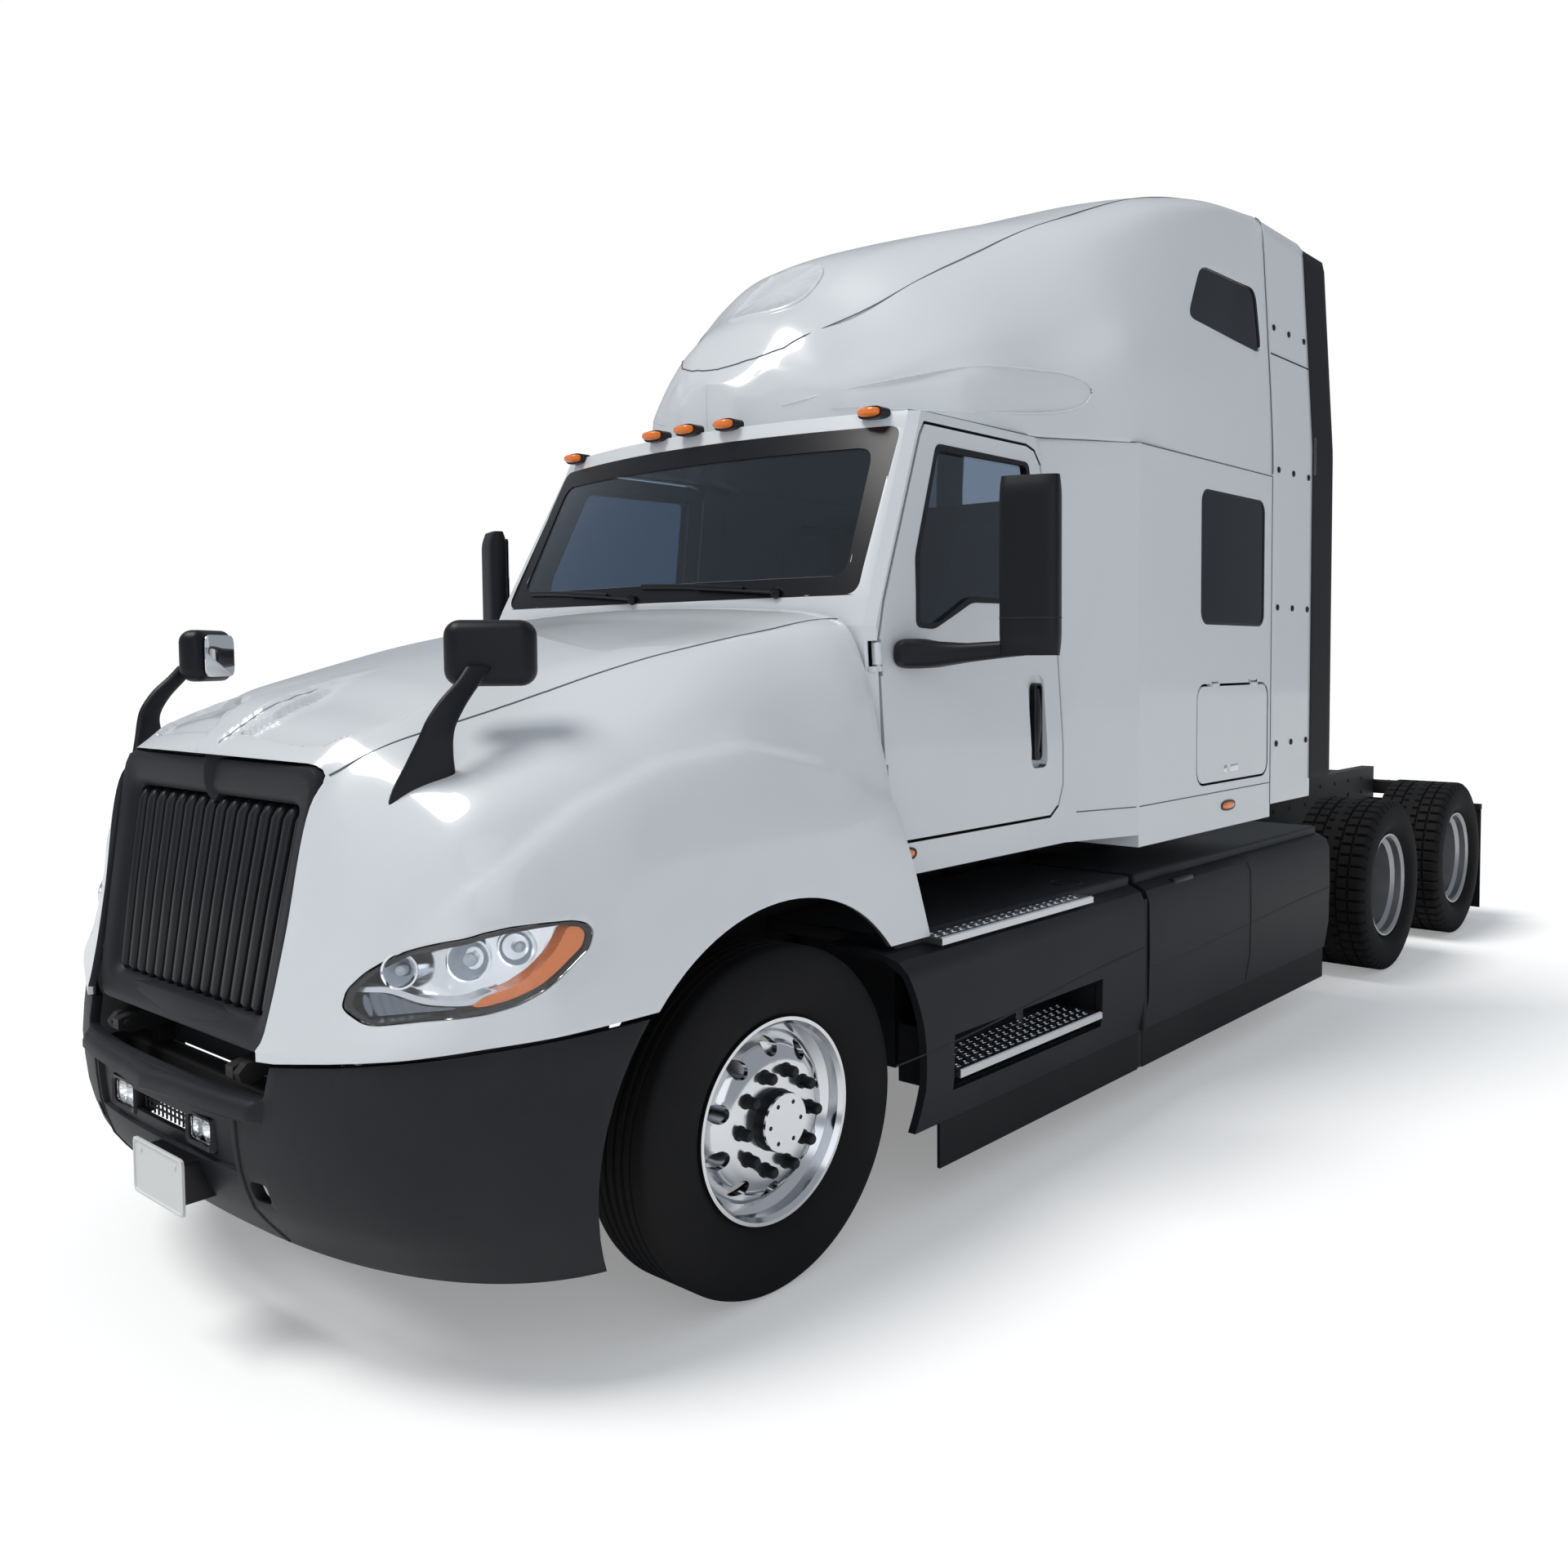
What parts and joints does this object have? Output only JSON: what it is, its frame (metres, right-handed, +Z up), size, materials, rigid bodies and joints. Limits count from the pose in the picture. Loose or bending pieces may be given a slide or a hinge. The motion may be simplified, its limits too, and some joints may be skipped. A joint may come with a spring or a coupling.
{
  "type": "semi truck tractor",
  "caption": "Highway tractor unit with a tall sleeper, a tilting hood, opening doors, steered front wheels and a fifth wheel over tandem drive axles.",
  "frame": {"origin": "on the ground below the middle of the truck's length and width", "axes": "+X forwards, +Y to the driver's left, +Z up"},
  "size_m": [8.372, 3.1488, 3.985],
  "materials": {
    "white_paint": "gloss",
    "charcoal_plastic": "matte",
    "black_plastic": "satin",
    "chassis_paint": "satin",
    "engine_paint": "satin",
    "aluminium": "satin",
    "polished_aluminium": "polished",
    "wheel_aluminium": "satin",
    "cast_steel": "greased",
    "tyre_rubber": "matte",
    "black_rubber": "matte",
    "tinted_glass": "gloss",
    "lamp_lens": "gloss",
    "red_lens": "gloss",
    "cab_plastic": "matte",
    "upholstery": "woven"
  },
  "bodies": {
    "chassis": {"frame_rails": "chassis_paint", "front_axle": "chassis_paint", "suspension": "chassis_paint", "drive_axles": "chassis_paint", "driveline": "engine_paint", "engine": "engine_paint", "radiator": "chassis_paint", "tanks": "aluminium", "side_boxes": "charcoal_plastic", "bumper": "charcoal_plastic", "number_plate": "aluminium", "fog_lamps": "lamp_lens", "side_fairings": "charcoal_plastic", "skirts": "black_rubber", "step_treads": "aluminium", "deck_plate": "aluminium", "fifth_wheel_base": "chassis_paint", "mudflaps": "black_rubber", "tail_lamps": "red_lens", "cab_shell": "white_paint", "sleeper_shell": "white_paint", "roof_cap": "white_paint", "windscreen": "tinted_glass", "side_windows": "tinted_glass", "side_extenders": "white_paint", "extender_edges": "black_rubber", "dashboard": "cab_plastic", "seats": "upholstery", "bunk": "upholstery"},
    "hood": {"hood": "white_paint", "hood_hinges": "chassis_paint", "grille": "charcoal_plastic", "headlamps": "lamp_lens", "hood_mirrors": "black_plastic"},
    "door_left": {"door_left": "white_paint", "door_glass_left": "tinted_glass", "door_mirror_left": "black_plastic"},
    "door_right": {"door_right": "white_paint", "door_glass_right": "tinted_glass", "door_mirror_right": "black_plastic"},
    "luggage_door_left": {"luggage_door_left": "white_paint"},
    "luggage_door_right": {"luggage_door_right": "white_paint"},
    "fifth_wheel": {"fifth_wheel_plate": "cast_steel"},
    "steering_wheel": {"steering_wheel": "cab_plastic"},
    "knuckle_left": {"knuckle_left": "chassis_paint"},
    "knuckle_right": {"knuckle_right": "chassis_paint"},
    "tie_rod": {"tie_rod": "chassis_paint"},
    "front_wheel_left": {"front_rim_left": "polished_aluminium", "front_tyre_left": "tyre_rubber"},
    "front_wheel_right": {"front_rim_right": "polished_aluminium", "front_tyre_right": "tyre_rubber"},
    "fore_wheel_left": {"fore_rim_left": "wheel_aluminium", "fore_tyre_left": "tyre_rubber"},
    "fore_wheel_right": {"fore_rim_right": "wheel_aluminium", "fore_tyre_right": "tyre_rubber"},
    "aft_wheel_left": {"aft_rim_left": "wheel_aluminium", "aft_tyre_left": "tyre_rubber"},
    "aft_wheel_right": {"aft_rim_right": "wheel_aluminium", "aft_tyre_right": "tyre_rubber"}
  },
  "joints": [
    {"name": "hood_tilt", "type": "hinge", "parent": "chassis", "child": "hood", "pos_m": [4.076, 0, 0.79], "axis": [0, 1, 0], "range_deg": [0, 60]},
    {"name": "door_left_swing", "type": "hinge", "parent": "chassis", "child": "door_left", "pos_m": [2.334, 1.075, 1.6], "axis": [0, -0.0401, 0.9992], "range_deg": [-70, 0]},
    {"name": "door_right_swing", "type": "hinge", "parent": "chassis", "child": "door_right", "pos_m": [2.334, -1.075, 1.6], "axis": [0, 0.0401, 0.9992], "range_deg": [0, 70]},
    {"name": "luggage_left_lift", "type": "hinge", "parent": "chassis", "child": "luggage_door_left", "pos_m": [-0.029, 1.212, 1.718], "axis": [1, 0, 0], "range_deg": [0, 85]},
    {"name": "luggage_right_lift", "type": "hinge", "parent": "chassis", "child": "luggage_door_right", "pos_m": [-0.029, -1.212, 1.718], "axis": [1, 0, 0], "range_deg": [-85, 0]},
    {"name": "steer_left", "type": "hinge", "parent": "chassis", "child": "knuckle_left", "pos_m": [2.916, 0.88, 0.506], "axis": [0, 0, 1], "range_deg": [-38, 38]},
    {"name": "steer_right", "type": "hinge", "parent": "chassis", "child": "knuckle_right", "pos_m": [2.916, -0.88, 0.506], "axis": [0, 0, 1], "range_deg": [-38, 38]},
    {"name": "tie_rod_pivot", "type": "hinge", "parent": "knuckle_left", "child": "tie_rod", "pos_m": [2.716, 0.88, 0.352], "axis": [0, 0, 1], "range_deg": [-38, 38]},
    {"name": "steering_wheel_turn", "type": "hinge", "parent": "chassis", "child": "steering_wheel", "pos_m": [1.841, 0.52, 1.9], "axis": [-0.6691, 0, 0.7431], "range_deg": [-608, 608]},
    {"name": "fifth_wheel_tilt", "type": "hinge", "parent": "chassis", "child": "fifth_wheel", "pos_m": [-2.786, 0, 1.11], "axis": [0, 1, 0], "range_deg": [-8, 8]},
    {"name": "front_wheel_left_roll", "type": "hinge", "parent": "knuckle_left", "child": "front_wheel_left", "pos_m": [2.916, 1.045, 0.506], "axis": [0, 1, 0], "continuous": true},
    {"name": "fore_wheel_left_roll", "type": "hinge", "parent": "chassis", "child": "fore_wheel_left", "pos_m": [-2.166, 1.015, 0.5], "axis": [0, 1, 0], "continuous": true},
    {"name": "aft_wheel_left_roll", "type": "hinge", "parent": "chassis", "child": "aft_wheel_left", "pos_m": [-3.486, 1.015, 0.5], "axis": [0, 1, 0], "continuous": true},
    {"name": "front_wheel_right_roll", "type": "hinge", "parent": "knuckle_right", "child": "front_wheel_right", "pos_m": [2.916, -1.045, 0.506], "axis": [0, 1, 0], "continuous": true},
    {"name": "fore_wheel_right_roll", "type": "hinge", "parent": "chassis", "child": "fore_wheel_right", "pos_m": [-2.166, -1.015, 0.5], "axis": [0, 1, 0], "continuous": true},
    {"name": "aft_wheel_right_roll", "type": "hinge", "parent": "chassis", "child": "aft_wheel_right", "pos_m": [-3.486, -1.015, 0.5], "axis": [0, 1, 0], "continuous": true}
  ],
  "couplings": [
    {"joint": "steer_right", "follows": "steer_left", "ratio": 1},
    {"joint": "tie_rod_pivot", "follows": "steer_left", "ratio": -1},
    {"joint": "steering_wheel_turn", "follows": "steer_left", "ratio": 16}
  ]
}
